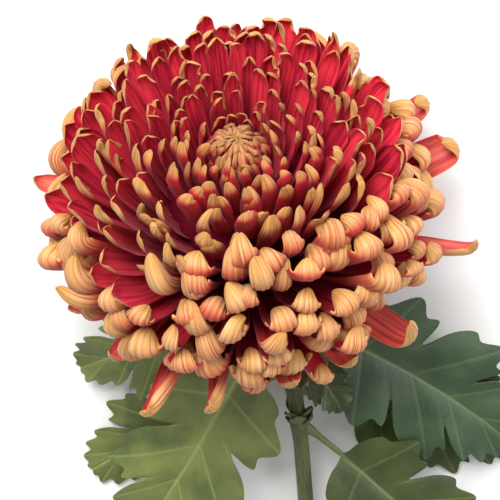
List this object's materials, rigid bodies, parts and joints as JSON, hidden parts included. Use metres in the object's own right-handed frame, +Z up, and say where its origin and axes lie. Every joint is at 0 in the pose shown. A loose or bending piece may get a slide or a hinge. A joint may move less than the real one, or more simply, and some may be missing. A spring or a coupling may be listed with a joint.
{
  "type": "chrysanthemum flower",
  "caption": "Cut chrysanthemum lying on its side: one large double bloom of incurved petals on a leafy green stem.",
  "frame": {"origin": "on the surface that the flower lies on, under the middle of its bounding box", "axes": "+Z up from the surface, +Y along the surface from the cut end of the stem towards the bloom"},
  "size_m": [0.1824, 0.2534, 0.1136],
  "materials": {
    "petals": "satin, crimson above and gold on the reverse",
    "calyx": "matte",
    "stem": "satin, ribbed",
    "leaves": "matte, veined"
  },
  "bodies": {
    "root": {"bloom": "petals", "calyx": "calyx", "stem": "stem", "leaf_far_left": "leaves", "leaf_left": "leaves", "leaf_low_left": "leaves", "leaf_right": "leaves", "leaf_mid_right": "leaves", "leaf_low_right": "leaves", "leaf_neck": "leaves"}
  },
  "joints": []
}
